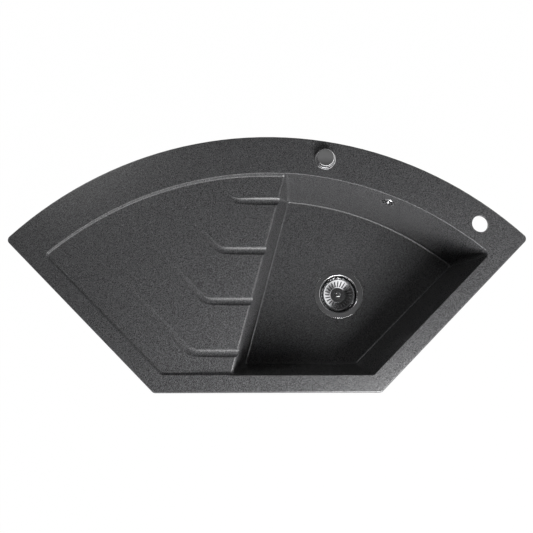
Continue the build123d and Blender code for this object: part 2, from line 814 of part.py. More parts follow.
def make_waste_body():
    """Moulded housing under the floor: drum, spider, shaft bosses, inlet and outlet."""
    wall = body_wall
    drum = [
        (body_flange_r, body_top, 0),
        (body_flange_r, body_top - 1.2 * wall, body_flange_round),
        (body_r, body_top - 1.2 * wall, body_flange_round),
        (body_r, body_foot, body_foot_round),
        (outlet_r, cone_foot, 0),
        (outlet_r, outlet_foot, 0),
        (0, outlet_foot, 0),
        (0, body_top, 0),
    ]
    hollow = [
        (body_bore_r, body_top + 1, 0),
        (body_bore_r, body_foot + wall / 2, body_foot_round),
        (outlet_bore_r, cone_foot + wall / 2, 2),
        (outlet_bore_r, outlet_foot - 1, 0),
        (0, outlet_foot - 1, 0),
        (0, body_top + 1, 0),
    ]
    body = turned(drum)
    body += shaft_bar(boss_r, -boss_end, body_r + 2)
    body += inlet_bar(socket_outer_r, 0, inlet_end)
    body += make_cable_bracket()
    chamber = turned(hollow)
    chamber -= shaft_bar(boss_r, body_bore_r - boss_inner_reach, body_r)
    body -= chamber

    # spider that carries the bolt, its legs clear of the inlet
    spider = rod(hub_r, hub_foot, hub_top)
    leg_top = (hub_top + hub_foot) / 2 + spider_leg_step
    leg = Box(body_bore_r - hub_r + 3, spider_leg_w, leg_top - hub_foot)
    for i in range(3):
        out = Pos((body_bore_r + hub_r) / 2, 0, (leg_top + hub_foot) / 2)
        spider += Rot(0, 0, inlet_angle + 60 + 120 * i) * out * leg
    body += spider
    body -= rod(bolt_r + thread_gap, hub_foot - 1, hub_top + 1)

    body -= shaft_bar(rocker_r + running, -boss_end - 1, body_r)
    body -= shaft_bar(oring_r + seat_gap, -boss_end - 1, -boss_end + oring_t)
    body -= inlet_bar(pipe_bore_r, body_bore_r - 4, inlet_end)
    body -= inlet_bar(socket_r, inlet_end - socket_depth, inlet_end + 1)
    return body


def make_gland_nut():
    """Screwed cap that holds the shaft's seal in its boss."""
    cap = hexagon_nut(2.5 * boss_r, rocker_r + seat_gap, boss_end - 8, nut_end)
    cap -= rod(boss_r + thread_gap, boss_end - 9, boss_end + seat_gap)
    return Pos(0, rocker_y, rocker_z) * Rot(0, -90, 0) * cap


def make_rocker():
    """Shaft with the finger that lifts the pin, at rest slanting down."""
    shaft = shaft_bar(rocker_r, -crank_x - crank_t - 0.5, body_r - seat_gap)
    finger = Pos(0, rocker_arm / 2, 0) * Box(rocker_finger_w, rocker_arm, rocker_finger_t)
    nose = Rot(0, 90, 0) * rod(rocker_nose_r, -rocker_finger_w / 2, rocker_finger_w / 2)
    finger += Pos(0, rocker_arm, 0) * nose
    return shaft + Pos(0, rocker_y, rocker_z) * Rot(-degrees(half_turn), 0, 0) * finger


def make_rocker_crank():
    """Arm on the shaft's outer end, hanging down to the cable."""
    plate = Circle(boss_r) + Pos(0, -crank_arm) * Circle(crank_eye_wall)
    plate += make_hull(plate.edges())
    plate -= Circle(rocker_r + running)
    plate -= Pos(0, -crank_arm) * Circle(gland_bore_r + cable_eye_gap)
    plate = extrude(Plane.YZ * plate, -crank_t)
    return Pos(-crank_x, rocker_y, rocker_z) * plate


def make_gland():
    """Threaded cable gland about Z: its shoulder's face at the origin."""
    gland = rod(gland_r, -gland_reach, gland_length - gland_reach)
    gland += hexagon_nut(2.9 * gland_r, gland_bore_r, 0, gland_r)
    return gland - rod(gland_bore_r, -gland_length, gland_length)


# ---------------------------------------------------------------- basket
basket_rim_r = cup_r - basket_gap
basket_shoulder_r = basket_rim_r - basket_rim_w
basket_foot_r = basket_shoulder_r - basket_taper
stopper_r = cup_port_r + stopper_lap
basket_foot = -basket_rim_drop - basket_h
grip_foot = bolt_top + seat_gap
web_foot = grip_foot + 1
web_top = web_foot + stopper_web_t
pin_socket_r = pin_r + seat_gap
grip_rod_r = pin_socket_r + 1.2


def make_basket():
    """Pressed strainer: rolled rim, cone with upright slots, and a flat foot."""
    rim = -basket_rim_drop
    bead_top = rim + basket_bead_rise
    bead_foot = rim - basket_bead_drop
    bead_in = basket_rim_r - basket_bead_w
    shoulder = rim - basket_shoulder_drop
    slope = (basket_shoulder_r - basket_foot_r) / (basket_h - basket_shoulder_drop)
    side_t = basket_t * sqrt(1 + slope * slope)
    basket = turned(
        [
            (basket_rim_r, bead_foot, 0.4),
            (basket_rim_r, bead_top, 0.7),
            (bead_in, bead_top, 0.5),
            (basket_shoulder_r, shoulder, basket_round),
            (basket_foot_r, basket_foot, basket_round),
            (grip_rod_r + running, basket_foot, 0),
            (grip_rod_r + running, basket_foot - basket_t, 0),
            (basket_foot_r + side_t / 3, basket_foot - basket_t, 2.5),
            (basket_shoulder_r + side_t / 2, shoulder - basket_t, basket_round),
            (bead_in, bead_foot, 0.4),
        ]
    )
    near = basket_foot_r + basket_foot_land
    far = basket_shoulder_r - basket_shoulder_land
    slot = Pos((near + far) / 2, 0, rim - basket_h / 2) * Box(
        far - near, basket_slot_w, 1.4 * basket_h
    )
    for i in range(basket_slots):
        basket -= Rot(0, 0, 360 / basket_slots * i) * slot
    return basket


def make_grip():
    """Pull knob on a rod that holds basket and stopper and sits over the pin."""
    top = basket_foot + grip_h
    return turned(
        [
            (0, top, 0),
            (grip_r, top, grip_top_round),
            (grip_r, top - 0.4 * grip_h, grip_under_round),
            (grip_rod_r, top - 0.6 * grip_h, 1),
            (grip_rod_r, web_foot, 0),
            (grip_rod_r + grip_collar_w, web_foot, 0),
            (grip_rod_r + grip_collar_w, grip_foot, 0),
            (pin_socket_r, grip_foot, 0),
            (pin_socket_r, grip_foot + pin_entry + seat_gap, 0),
            (0, grip_foot + pin_entry + seat_gap, 0),
        ]
    )


def make_stopper():
    """Rubber stopper under the basket; its lip closes the cup's ports."""
    hole_r = grip_rod_r + running
    lip_foot = seat_gap - cup_depth
    return turned(
        [
            (hole_r, basket_foot - basket_t, 0),
            (hole_r + 3, basket_foot - basket_t, 0.5),
            (hole_r + 4, web_top, 1),
            (stopper_r - 0.8, web_top, 1.5),
            (stopper_r, lip_foot, 0.6),
            (stopper_r - 2, lip_foot, 0.6),
            (stopper_r - stopper_lip, web_foot, 1),
            (hole_r, web_foot, 0),
        ]
    )


# ---------------------------------------------------------------- overflow pieces
def make_overflow_cover():
    """Round cover with a ring of holes, let into the bowl's wall."""
    face = cover_sink - cover_t
    cover = turned(
        [
            (clip_screw_r + thread_gap, cover_sink, 0),
            (cover_r, cover_sink, 0),
            (cover_r, face, 0.9),
            (clip_screw_r + thread_gap, face, 0),
        ]
    )
    hole = Pos(0.62 * cover_r, 0, 0) * rod(cover_hole_r, face - 1, cover_sink + 1)
    for i in range(cover_holes):
        cover -= Rot(0, 0, 360 / cover_holes * i) * hole
    return cover


def make_overflow_screw():
    """Screw from the cover's middle into the elbow's post."""
    face = cover_sink - cover_t
    head_r = 2 * clip_screw_r
    head = turned(
        [(0, face, 0), (head_r, face, 0), (head_r, face - 1.8, 1.2), (0, face - 1.8, 0)]
    )
    head -= Pos(0, 0, face - 1.8) * Box(2 * head_r, 1.2, 2)
    return head + rod(clip_screw_r, face, elbow_start + elbow_length / 2)


def make_overflow_elbow():
    """Moulded elbow behind the wall: flange, drum, screw post and a socket down."""
    wall = socket_t
    back = elbow_start + elbow_length
    drum = rod(overflow_pad_r - 1, elbow_start, elbow_start + wall)
    drum += rod(elbow_r, elbow_start, back)
    elbow = overflow_plane * drum
    x, y = pipe_head.X, pipe_head.Y
    elbow += Pos(x, y, 0) * rod(socket_outer_r, elbow_foot_z, pipe_head.Z)
    elbow -= overflow_plane * rod(elbow_r - wall, elbow_start - 1, back - wall)
    elbow -= Pos(x, y, 0) * rod(pipe_bore_r, elbow_foot_z - 1, pipe_head.Z)
    elbow -= Pos(x, y, 0) * rod(socket_r, elbow_foot_z - 1, elbow_foot_z + socket_depth)
    post = rod(2 * clip_screw_r, elbow_start, back - wall)
    web = Pos(0, 0, (elbow_start + back) / 2 + 4) * Box(2 * elbow_r - wall, 2, back - elbow_start - 8)
    post += web & rod(elbow_r - wall / 2, elbow_start, back)
    post -= rod(clip_screw_r + thread_gap, elbow_start - 1, back - 2 * wall)
    return elbow + overflow_plane * post


def make_corner_elbow():
    """Bend at the foot of the down tube, turning towards the waste."""
    head = Vector(pipe_head.X, pipe_head.Y, inlet_z)
    along = inlet_run.normalized()
    up_end = head + Vector(0, 0, corner_leg)
    in_end = head - Vector(along.X, along.Y, 0) * corner_leg
    bend = bent_bar((up_end, head, in_end), corner_bend_r, socket_outer_r)
    bend -= bent_bar((up_end, head, in_end), corner_bend_r, pipe_bore_r)
    bend -= rod_between(up_end, up_end - Vector(0, 0, socket_depth), socket_r)
    inward = Vector(along.X, along.Y, 0) * socket_depth
    return bend - rod_between(in_end, in_end + inward, socket_r)


def tube(length):
    """A plain tube about Z, standing on the origin."""
    return ring(pipe_bore_r, pipe_r, 0, length)


def socket_frames():
    """A frame at each slip joint: origin at the socket's mouth, +Z into the socket."""
    head = Pos(pipe_head.X, pipe_head.Y, 0)
    flat = Rot(0, 0, inlet_angle) * Rot(0, 90, 0)
    run = inlet_run.length
    return [
        head * Pos(0, 0, elbow_foot_z),
        head * Pos(0, 0, inlet_z + corner_leg) * Rot(180, 0, 0),
        Pos(drain_x, drain_y, inlet_z) * flat * Pos(0, 0, run - corner_leg),
        Pos(drain_x, drain_y, inlet_z) * flat * Pos(0, 0, inlet_end) * Rot(180, 0, 0),
    ]


def make_slip_nut():
    """Ribbed union nut: threaded over the socket, closing down on the tube."""
    nut = turned(
        [
            (socket_outer_r + thread_gap, nut_length - nut_wall - cone_h, 0),
            (socket_outer_r + nut_t, nut_length - nut_wall - cone_h, 0.8),
            (socket_outer_r + nut_t, -nut_wall - cone_h, 0.8),
            (socket_r, -nut_wall - cone_h, 0),
            (socket_r, -cone_h, 0),
            (socket_outer_r + thread_gap, -cone_h, 0),
        ]
    )
    rib = Pos(socket_outer_r + nut_t, 0, nut_length / 2 - nut_wall - cone_h) * Box(
        nut_rib_t, nut_rib_w, 0.7 * nut_length
    )
    for i in range(nut_ribs):
        nut += Rot(0, 0, 360 / nut_ribs * i) * rib
    return nut


def make_cone_washer():
    """Wedge-shaped rubber washer between socket and nut."""
    return turned(
        [
            (pipe_r + running, 0, 0),
            (pipe_r + running, -cone_h, 0),
            (socket_outer_r - 0.3, -cone_h, 0),
            (socket_outer_r - 0.3, -cone_h / 2, 0),
            (socket_r + 0.8, 0, 0),
        ]
    )


# ---------------------------------------------------------------- knob and its control
knob_frame = Location((knob_at.X, knob_at.Y, 0), (0, 0, -knob_angle))
collar_top = rim_t + collar_t
stem_top = collar_top + stem_head_t
stem_head_r = knob_r - knob_wall - skirt_gap
stem_foot = -stem_drop
knob_foot = collar_top + seat_gap
knob_top = knob_foot + knob_h
shoulder_top = stem_top + seat_gap + spindle_shoulder_t
spindle_bore_r = spindle_r + running
clip_z = stem_foot - seat_gap
wheel_top = clip_z - wheel_drop
wheel_angle = 45.0         # the eye rests this far to one side of the cable's line
housing_foot = stem_foot - housing_chamber - housing_wall
pull_y = -wheel_pull_r * cos(radians(wheel_angle))


def make_knob():
    """Turning cap: domed top, drafted skirt, and a hub bored for the spindle."""
    inner_r = knob_r - knob_wall
    hub_r = 1.7 * spindle_r
    cap_under = knob_top - 1.6 * knob_wall
    knob = turned(
        [
            (0, knob_top + knob_dome, 0),
            (0.55 * knob_r, knob_top + 0.6 * knob_dome, 10),
            (knob_r - knob_skirt_lean, knob_top, knob_edge_round),
            (knob_r, knob_foot, 0.3),
            (inner_r, knob_foot, 0),
            (inner_r - 1, cap_under, 0.8),
            (hub_r, cap_under, 0.8),
            (hub_r, shoulder_top, 0),
            (spindle_bore_r, shoulder_top, 0),
            (spindle_bore_r, cap_under, 0),
            (0, cap_under, 0),
        ]
    )
    screw_z = (shoulder_top + cap_under) / 2
    access = Pos(0, 0, screw_z) * Rot(-90, 0, 0)
    knob -= access * rod(grub_r + thread_gap, 0, hub_r + 1)
    return knob - access * rod(grub_r + 0.4, hub_r, knob_r + 2)


def make_grub_screw():
    """Socket screw through the hub onto the spindle."""
    cap_under = knob_top - 1.6 * knob_wall
    screw = rod(grub_r, spindle_r + running, 1.7 * spindle_r)
    screw -= rod(grub_r / 2, 1.7 * spindle_r - 1, 1.7 * spindle_r + 1)
    return Pos(0, 0, (shoulder_top + cap_under) / 2) * Rot(-90, 0, 0) * screw


def make_collar():
    """Trim ring on the ledge, under the knob."""
    bore_r = stem_r + thread_gap
    return turned(
        [(bore_r, rim_t, 0), (collar_r, rim_t, 0), (collar_r, collar_top, 1.2), (bore_r, collar_top, 0)]
    )


def make_stem():
    """Threaded tube through the ledge, with a bearing land at each end."""
    land = 8.0
    relief_r = 0.7 * stem_r
    return turned(
        [
            (spindle_bore_r, stem_top, 0),
            (stem_head_r, stem_top, 0.5),
            (stem_head_r, collar_top, 0),
            (stem_r, collar_top, 0),
            (stem_r, stem_foot, 0.5),
            (spindle_bore_r, stem_foot, 0),
            (spindle_bore_r, stem_foot + land, 0),
            (relief_r, stem_foot + land + 3, 0),
            (relief_r, stem_top - land - 3, 0),
            (spindle_bore_r, stem_top - land, 0),
        ]
    )


def make_spindle():
    """Stepped shaft from the knob down to the housing's floor."""
    groove_r = spindle_r - 1
    pilot_r = 0.6 * spindle_r
    head = knob_top - 1.6 * knob_wall - seat_gap
    return turned(
        [
            (0, head, 0),
            (spindle_r, head, 0.4),
            (spindle_r, shoulder_top, 0),
            (1.5 * spindle_r, shoulder_top, 0),
            (1.5 * spindle_r, stem_top + seat_gap, 0),
            (spindle_r, stem_top + seat_gap, 0),
            (spindle_r, clip_z, 0),
            (groove_r, clip_z, 0),
            (groove_r, clip_z - circlip_t, 0),
            (spindle_r, clip_z - circlip_t, 0),
            (spindle_r, wheel_top - wheel_t - 2, 0),
            (pilot_r, wheel_top - wheel_t - 2, 0),
            (pilot_r, housing_foot - 1, 0),
            (0, housing_foot - 1, 0),
        ]
    )


def make_circlip():
    """Open retaining ring in the spindle's groove, under the stem."""
    clip = Circle(1.7 * spindle_r) - Circle(spindle_r - 1)
    clip -= Pos(0, spindle_r) * Rectangle(spindle_r, 2 * spindle_r)
    return Pos(0, 0, clip_z) * extrude(clip, -circlip_t)


def make_cable_wheel():
    """Disc on the spindle with an eye for the cable."""
    wheel = Circle(wheel_r) - Circle(spindle_r + running)
    wheel -= Rot(0, 0, -90 - wheel_angle) * Pos(wheel_pull_r, 0) * Circle(gland_bore_r)
    return Pos(0, 0, wheel_top) * extrude(wheel, -wheel_t)


def make_housing():
    """Cup screwed to the stem's foot: open windows, a floor bearing and a cable hole."""
    bore_r = stem_r + thread_gap
    inner_r = housing_r - housing_wall
    top = stem_foot + housing_grip
    housing = turned(
        [
            (bore_r, top, 0),
            (housing_r, top, 0.8),
            (housing_r, housing_foot, 2),
            (0.6 * spindle_r + running, housing_foot, 0),
            (0.6 * spindle_r + running, housing_foot + housing_wall, 0),
            (inner_r, housing_foot + housing_wall, 1),
            (inner_r, stem_foot - 2, 0),
            (bore_r, stem_foot - 1, 0),
        ]
    )
    window_h = housing_chamber - 8
    window_z = housing_foot + housing_wall + 2 + window_h / 2
    window = Box(1.2 * housing_r, 2 * housing_r, window_h)
    housing -= Pos(housing_r / 2, housing_r, window_z) * window
    boss = Pos(0, pull_y, wheel_top - wheel_t / 2) * Rot(0, -90, 0)
    housing += boss * rod(gland_r + 2.5, inner_r - 2, housing_r) - rod(inner_r, housing_foot, 0)
    return housing - boss * rod(gland_r + thread_gap, 0, 2 * housing_r)


# ---------------------------------------------------------------- every node
write("worktop_seal", make_worktop_seal())
write("fixing_clips", Compound([frame * make_clip() for frame in clip_frames()]))
write("clip_screws", Compound([frame * make_clip_screw() for frame in clip_frames()]))

upper_gasket = ring(drain_hole_r + 0.5, flange_r - 1, -drain_seat_depth, flange_under)
lower_gasket = ring(drain_hole_r + 0.5, body_flange_r, body_top, -floor_t)
write("strainer_cup", drain_at * make_strainer_cup())
write("upper_waste_gasket", drain_at * upper_gasket)
write("lower_waste_gasket", drain_at * lower_gasket)
write("waste_body", drain_at * make_waste_body())
write("clamp_bolt", drain_at * make_clamp_bolt())
write("lift_pin", drain_at * make_lift_pin())

oring = ring(rocker_r + running, oring_r, 0, oring_t - seat_gap)
oring_at = Pos(-boss_end, rocker_y, rocker_z) * Rot(0, 90, 0)
crank_screw = rod(1.2 * rocker_r, 0, 2)
crank_screw -= Pos(0, 0, 2) * Box(3 * rocker_r, 1, 1.6)
shaft_face = crank_x + crank_t + 0.5
crank_screw_at = Pos(-shaft_face, rocker_y, rocker_z) * Rot(0, -90, 0)
write("rocker_seal", drain_at * oring_at * oring)
write("rocker_gland_nut", drain_at * make_gland_nut())
write("rocker_shaft", drain_at * make_rocker())
write("rocker_crank", drain_at * make_rocker_crank())
write("crank_screw", drain_at * crank_screw_at * crank_screw)
lower_gland = Pos(-crank_x - crank_t / 2, bracket_y + bracket_t, rocker_z - crank_arm)
write("waste_cable_gland", drain_at * lower_gland * Rot(-90, 0, 0) * make_gland())

write("basket_strainer", drain_at * make_basket())
write("basket_grip", drain_at * make_grip())
write("basket_stopper", drain_at * make_stopper())

pad_face = wall_t + overflow_pad_t
overflow_gasket = ring(overflow_hole_r + 0.5, overflow_pad_r - 1, pad_face, elbow_start)
write("overflow_cover", overflow_plane * make_overflow_cover())
write("overflow_screw", overflow_plane * make_overflow_screw())
write("overflow_gasket", overflow_plane * overflow_gasket)
write("overflow_elbow", make_overflow_elbow())
write("overflow_corner_elbow", make_corner_elbow())
joints = socket_frames()
end_gap = 0.5
down_length = elbow_foot_z - inlet_z - corner_leg + 2 * (socket_depth - end_gap)
cross_length = inlet_run.length - corner_leg - inlet_end + 2 * (socket_depth - end_gap)
tube_end = socket_depth - end_gap
write("overflow_down_tube", joints[0] * Pos(0, 0, tube_end - down_length) * tube(down_length))
write("overflow_cross_tube", joints[2] * Pos(0, 0, tube_end - cross_length) * tube(cross_length))
write("slip_nuts", Compound([frame * make_slip_nut() for frame in joints]))
write("cone_washers", Compound([frame * make_cone_washer() for frame in joints]))

ledge_nut = hexagon_nut(
    2 * ledge_nut_r * cos(pi / 6), stem_r + thread_gap, -ledge_washer_t - ledge_nut_t, -ledge_washer_t
)
write("control_knob", knob_frame * make_knob())
write("knob_grub_screw", knob_frame * make_grub_screw())
write("knob_collar", knob_frame * make_collar())
write("control_stem", knob_frame * make_stem())
write("ledge_washer", knob_frame * ring(stem_r + seat_gap, collar_r, -ledge_washer_t, 0))
write("ledge_nut", knob_frame * ledge_nut)
write("control_spindle", knob_frame * make_spindle())
write("spindle_clip", knob_frame * make_circlip())
write("cable_wheel", knob_frame * make_cable_wheel())
write("control_housing", knob_frame * make_housing())
upper_gland = Pos(-housing_r, pull_y, wheel_top - wheel_t / 2) * Rot(0, -90, 0)
write("control_cable_gland", knob_frame * upper_gland * make_gland())
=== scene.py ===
import json
import math

import bmesh
import bpy
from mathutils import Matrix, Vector


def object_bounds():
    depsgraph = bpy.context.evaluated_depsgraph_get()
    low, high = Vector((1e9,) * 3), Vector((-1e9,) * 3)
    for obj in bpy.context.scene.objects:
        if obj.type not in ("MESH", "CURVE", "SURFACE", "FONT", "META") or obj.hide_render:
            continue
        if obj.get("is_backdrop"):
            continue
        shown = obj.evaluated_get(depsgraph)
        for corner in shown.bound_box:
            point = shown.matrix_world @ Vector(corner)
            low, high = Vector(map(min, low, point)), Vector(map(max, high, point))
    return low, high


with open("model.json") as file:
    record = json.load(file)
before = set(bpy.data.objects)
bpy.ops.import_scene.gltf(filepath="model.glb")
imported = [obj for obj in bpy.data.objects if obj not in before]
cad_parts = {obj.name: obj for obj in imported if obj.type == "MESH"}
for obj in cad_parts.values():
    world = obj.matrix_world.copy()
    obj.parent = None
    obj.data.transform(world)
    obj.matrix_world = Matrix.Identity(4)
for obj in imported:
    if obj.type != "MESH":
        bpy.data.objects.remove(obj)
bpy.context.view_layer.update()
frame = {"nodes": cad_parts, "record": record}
cadNodes = frame["nodes"]
print("frame loaded:", len(cadNodes), "nodes")

white = (1.0, 1.0, 1.0, 1.0)


# small helpers for node trees; an owner is a material or the world

def startMaterial(name, metallic=0.0, roughness=0.5, colour=(0.5, 0.5, 0.5)):
    material = bpy.data.materials.new(name)
    material.use_nodes = True
    shader = material.node_tree.nodes["Principled BSDF"]
    shader.inputs["Metallic"].default_value = metallic
    shader.inputs["Roughness"].default_value = roughness
    shader.inputs["Base Color"].default_value = (*colour, 1.0)
    return material, shader


def addNode(owner, kind, **values):
    node = owner.node_tree.nodes.new(kind)
    for key, value in values.items():
        if key in node.inputs:
            node.inputs[key].default_value = value
        else:
            setattr(node, key, value)
    return node


def connect(owner, source, target):
    owner.node_tree.links.new(source, target)


def objectPoint(material, middle=(0, 0, 0), turn=(0, 0, 0), stretch=(1, 1, 1)):
    # object coordinates, scaled, turned, and moved so that a place on the sink is their middle
    coords = addNode(material, "ShaderNodeTexCoord")
    mapping = addNode(material, "ShaderNodeMapping")
    mapping.inputs["Location"].default_value = [-v for v in middle]
    mapping.inputs["Rotation"].default_value = turn
    mapping.inputs["Scale"].default_value = stretch
    connect(material, coords.outputs["Object"], mapping.inputs["Vector"])
    return mapping.outputs["Vector"]


def noiseOf(material, vector, scale, detail=2.0, roughness=0.5):
    noise = addNode(material, "ShaderNodeTexNoise", Scale=scale, Detail=detail, Roughness=roughness)
    connect(material, vector, noise.inputs["Vector"])
    return noise.outputs["Fac"]


def ramp(material, value, span, colours):
    # from the first colour to the second as the value crosses the span
    node = addNode(material, "ShaderNodeValToRGB")
    for element, place, colour in zip(node.color_ramp.elements, span, colours):
        element.position = place
        element.color = (*colour, 1.0)
    connect(material, value, node.inputs["Fac"])
    return node.outputs["Color"]


def varyRoughness(material, shader, value, span, levels):
    shades = [(level, level, level) for level in levels]
    connect(material, ramp(material, value, span, shades), shader.inputs["Roughness"])


def bumpFrom(material, shader, height, strength, distance):
    bump = addNode(material, "ShaderNodeBump", Strength=strength, Distance=distance)
    connect(material, height, bump.inputs["Height"])
    connect(material, bump.outputs["Normal"], shader.inputs["Normal"])


# moulded quartz composite: dark resin with fine paler grains and a few pale flecks
composite = {
    "resin": (0.0108, 0.0108, 0.0112),
    "grain": (0.0825, 0.0825, 0.0852),
    "fleck": (0.156, 0.156, 0.160),
    "mottle": {"scale": 620.0, "detail": 3.0, "roughness": 0.6},
    "mottleSpan": (0.34, 0.68),
    "turn": (0.62, 0.47, 0.0),      # keeps the flat tops off the noise's own planes
    "fleckScale": 1200.0,
    "fleckless": 0.962,             # share of the cells that stay without a fleck
    "roughness": (0.22, 0.34),
    "roughnessSpan": (0.3, 0.7),
    "specular": 0.40,
    "bump": 0.10,
    "bumpDepth": 0.0003,
}


def makeComposite(s):
    material, shader = startMaterial("quartzComposite")
    shader.inputs["Specular IOR Level"].default_value = s["specular"]
    point = objectPoint(material, turn=s["turn"])
    mottle = noiseOf(material, point, **s["mottle"])
    base = ramp(material, mottle, s["mottleSpan"], (s["resin"], s["grain"]))
    cells = addNode(material, "ShaderNodeTexVoronoi", Scale=s["fleckScale"])
    connect(material, point, cells.inputs["Vector"])
    split = addNode(material, "ShaderNodeSeparateColor")
    connect(material, cells.outputs["Color"], split.inputs["Color"])
    fleck = addNode(material, "ShaderNodeMath", operation="GREATER_THAN")
    fleck.inputs[1].default_value = s["fleckless"]
    connect(material, split.outputs["Red"], fleck.inputs[0])
    mix = addNode(material, "ShaderNodeMix", data_type="RGBA")
    mix.inputs["B"].default_value = (*s["fleck"], 1.0)
    connect(material, fleck.outputs["Value"], mix.inputs["Factor"])
    connect(material, base, mix.inputs["A"])
    connect(material, mix.outputs["Result"], shader.inputs["Base Color"])
    varyRoughness(material, shader, mottle, s["roughnessSpan"], s["roughness"])
    bumpFrom(material, shader, mottle, s["bump"], s["bumpDepth"])
    return material


# metals: a faint grain, drawn out along one axis where the metal is brushed or turned
metals = {
    "chrome": {
        "name": "chromePlate", "colour": (0.78, 0.78, 0.79), "roughness": 0.05,
        "scale": 900.0, "stretch": (1, 1, 1), "bump": 0.003,
    },
    "stainless": {
        "name": "stainlessSteel", "colour": (0.60, 0.60, 0.61), "roughness": 0.15,
        "scale": 700.0, "stretch": (1, 1, 0.2), "bump": 0.03,
    },
    "zinc_steel": {
        "name": "zincSteel", "colour": (0.56, 0.57, 0.59), "roughness": 0.36,
        "scale": 260.0, "stretch": (1, 1, 1), "bump": 0.12,
    },
    "brass": {
        "name": "turnedBrass", "colour": (0.72, 0.55, 0.28), "roughness": 0.26,
        "scale": 900.0, "stretch": (0.05, 0.05, 1), "bump": 0.08,
    },
}
metalGrain = {
    "detail": 4.0,
    "roughness": 0.6,
    "span": (0.3, 0.7),
    "spread": (0.8, 1.25),          # the metal's roughness is multiplied by these
    "bumpDepth": 0.00005,
}


def makeMetal(s, g):
    material, shader = startMaterial(s["name"], 1.0, s["roughness"], s["colour"])
    point = objectPoint(material, stretch=s["stretch"])
    grain = noiseOf(material, point, s["scale"], g["detail"], g["roughness"])
    levels = [s["roughness"] * v for v in g["spread"]]
    varyRoughness(material, shader, grain, g["span"], levels)
    bumpFrom(material, shader, grain, s["bump"], g["bumpDepth"])
    return material


# rubber, foam and moulded plastics: a broad change of shade and a fine spark-eroded surface
plastics = {
    "black_rubber": {
        "name": "blackRubber", "colour": (0.018, 0.018, 0.018), "roughness": 0.72, "bump": 0.25,
    },
    "grey_foam": {
        "name": "greyFoam", "colour": (0.10, 0.10, 0.10), "roughness": 0.9, "bump": 0.6,
    },
    "black_plastic": {
        "name": "blackPlastic", "colour": (0.022, 0.022, 0.024), "roughness": 0.42, "bump": 0.12,
    },
    "grey_plastic": {
        "name": "greyPlastic", "colour": (0.27, 0.28, 0.29), "roughness": 0.40, "bump": 0.10,
    },
}
plasticGrain = {
    "broad": 60.0,
    "shade": 0.86,                  # the darker shade is the colour times this
    "fine": 2600.0,
    "span": (0.3, 0.7),
    "spread": (0.9, 1.1),           # the plastic's roughness is multiplied by these
    "bumpDepth": 0.0001,
}


def makePlastic(s, g):
    material, shader = startMaterial(s["name"], 0.0, s["roughness"], s["colour"])
    point = objectPoint(material)
    broad = noiseOf(material, point, g["broad"])
    shade = [c * g["shade"] for c in s["colour"]]
    tone = ramp(material, broad, g["span"], (shade, s["colour"]))
    connect(material, tone, shader.inputs["Base Color"])
    fine = noiseOf(material, point, g["fine"])
    levels = [s["roughness"] * v for v in g["spread"]]
    varyRoughness(material, shader, fine, g["span"], levels)
    bumpFrom(material, shader, fine, s["bump"], g["bumpDepth"])
    return material


finishes = {"composite": makeComposite(composite)}
for slot, settings in metals.items():
    finishes[slot] = makeMetal(settings, metalGrain)
for slot, settings in plastics.items():
    finishes[slot] = makePlastic(settings, plasticGrain)
for part in frame["record"]["subparts"]:
    mesh = cadNodes[part["node"]].data
    mesh.materials.clear()
    mesh.materials.append(finishes[part["material_slot"]])


# knob: chrome whose top is shaded as swelling a little towards its middle
knob = {
    "middle": (0.1210, 0.2129, 0.0),
    "radius": 0.0194,
    "swell": 0.0008,
    "colour": (0.78, 0.78, 0.79),
    "roughness": 0.05,
}


def makeKnobChrome(s):
    material, shader = startMaterial("knobChrome", 1.0, s["roughness"], s["colour"])
    flat = addNode(material, "ShaderNodeVectorMath", operation="MULTIPLY")
    connect(material, objectPoint(material, s["middle"]), flat.inputs[0])
    flat.inputs[1].default_value = (1 / s["radius"], 1 / s["radius"], 0.0)
    square = addNode(material, "ShaderNodeVectorMath", operation="DOT_PRODUCT")
    connect(material, flat.outputs["Vector"], square.inputs[0])
    connect(material, flat.outputs["Vector"], square.inputs[1])
    bumpFrom(material, shader, square.outputs["Value"], 1.0, -s["swell"])
    return material


# basket: pressed steel whose ribs are shaded as rounded over, so that they catch the light
basket = {"colour": (0.44, 0.44, 0.45), "roughness": 0.20, "lift": 1.3}


def makeBasketSteel(s):
    material, shader = startMaterial("basketSteel", 1.0, s["roughness"], s["colour"])
    geometry = addNode(material, "ShaderNodeNewGeometry")
    lifted = addNode(material, "ShaderNodeVectorMath", operation="ADD")
    lifted.inputs[1].default_value = (0.0, 0.0, s["lift"])
    connect(material, geometry.outputs["Normal"], lifted.inputs[0])
    turned = addNode(material, "ShaderNodeVectorMath", operation="NORMALIZE")
    connect(material, lifted.outputs["Vector"], turned.inputs[0])
    connect(material, turned.outputs["Vector"], shader.inputs["Normal"])
    return material


cadNodes["control_knob"].data.materials[0] = makeKnobChrome(knob)
cadNodes["basket_strainer"].data.materials[0] = makeBasketSteel(basket)
print("materials set")


# floor: a pale ground that looks plain white to the camera and in mirroring surfaces
ground = {
    "drop": 0.004,                  # below the lowest piece
    "size": 12.0,
    "colour": (0.9, 0.9, 0.9),
    "roughness": 0.8,
    "glow": 0.997,
}


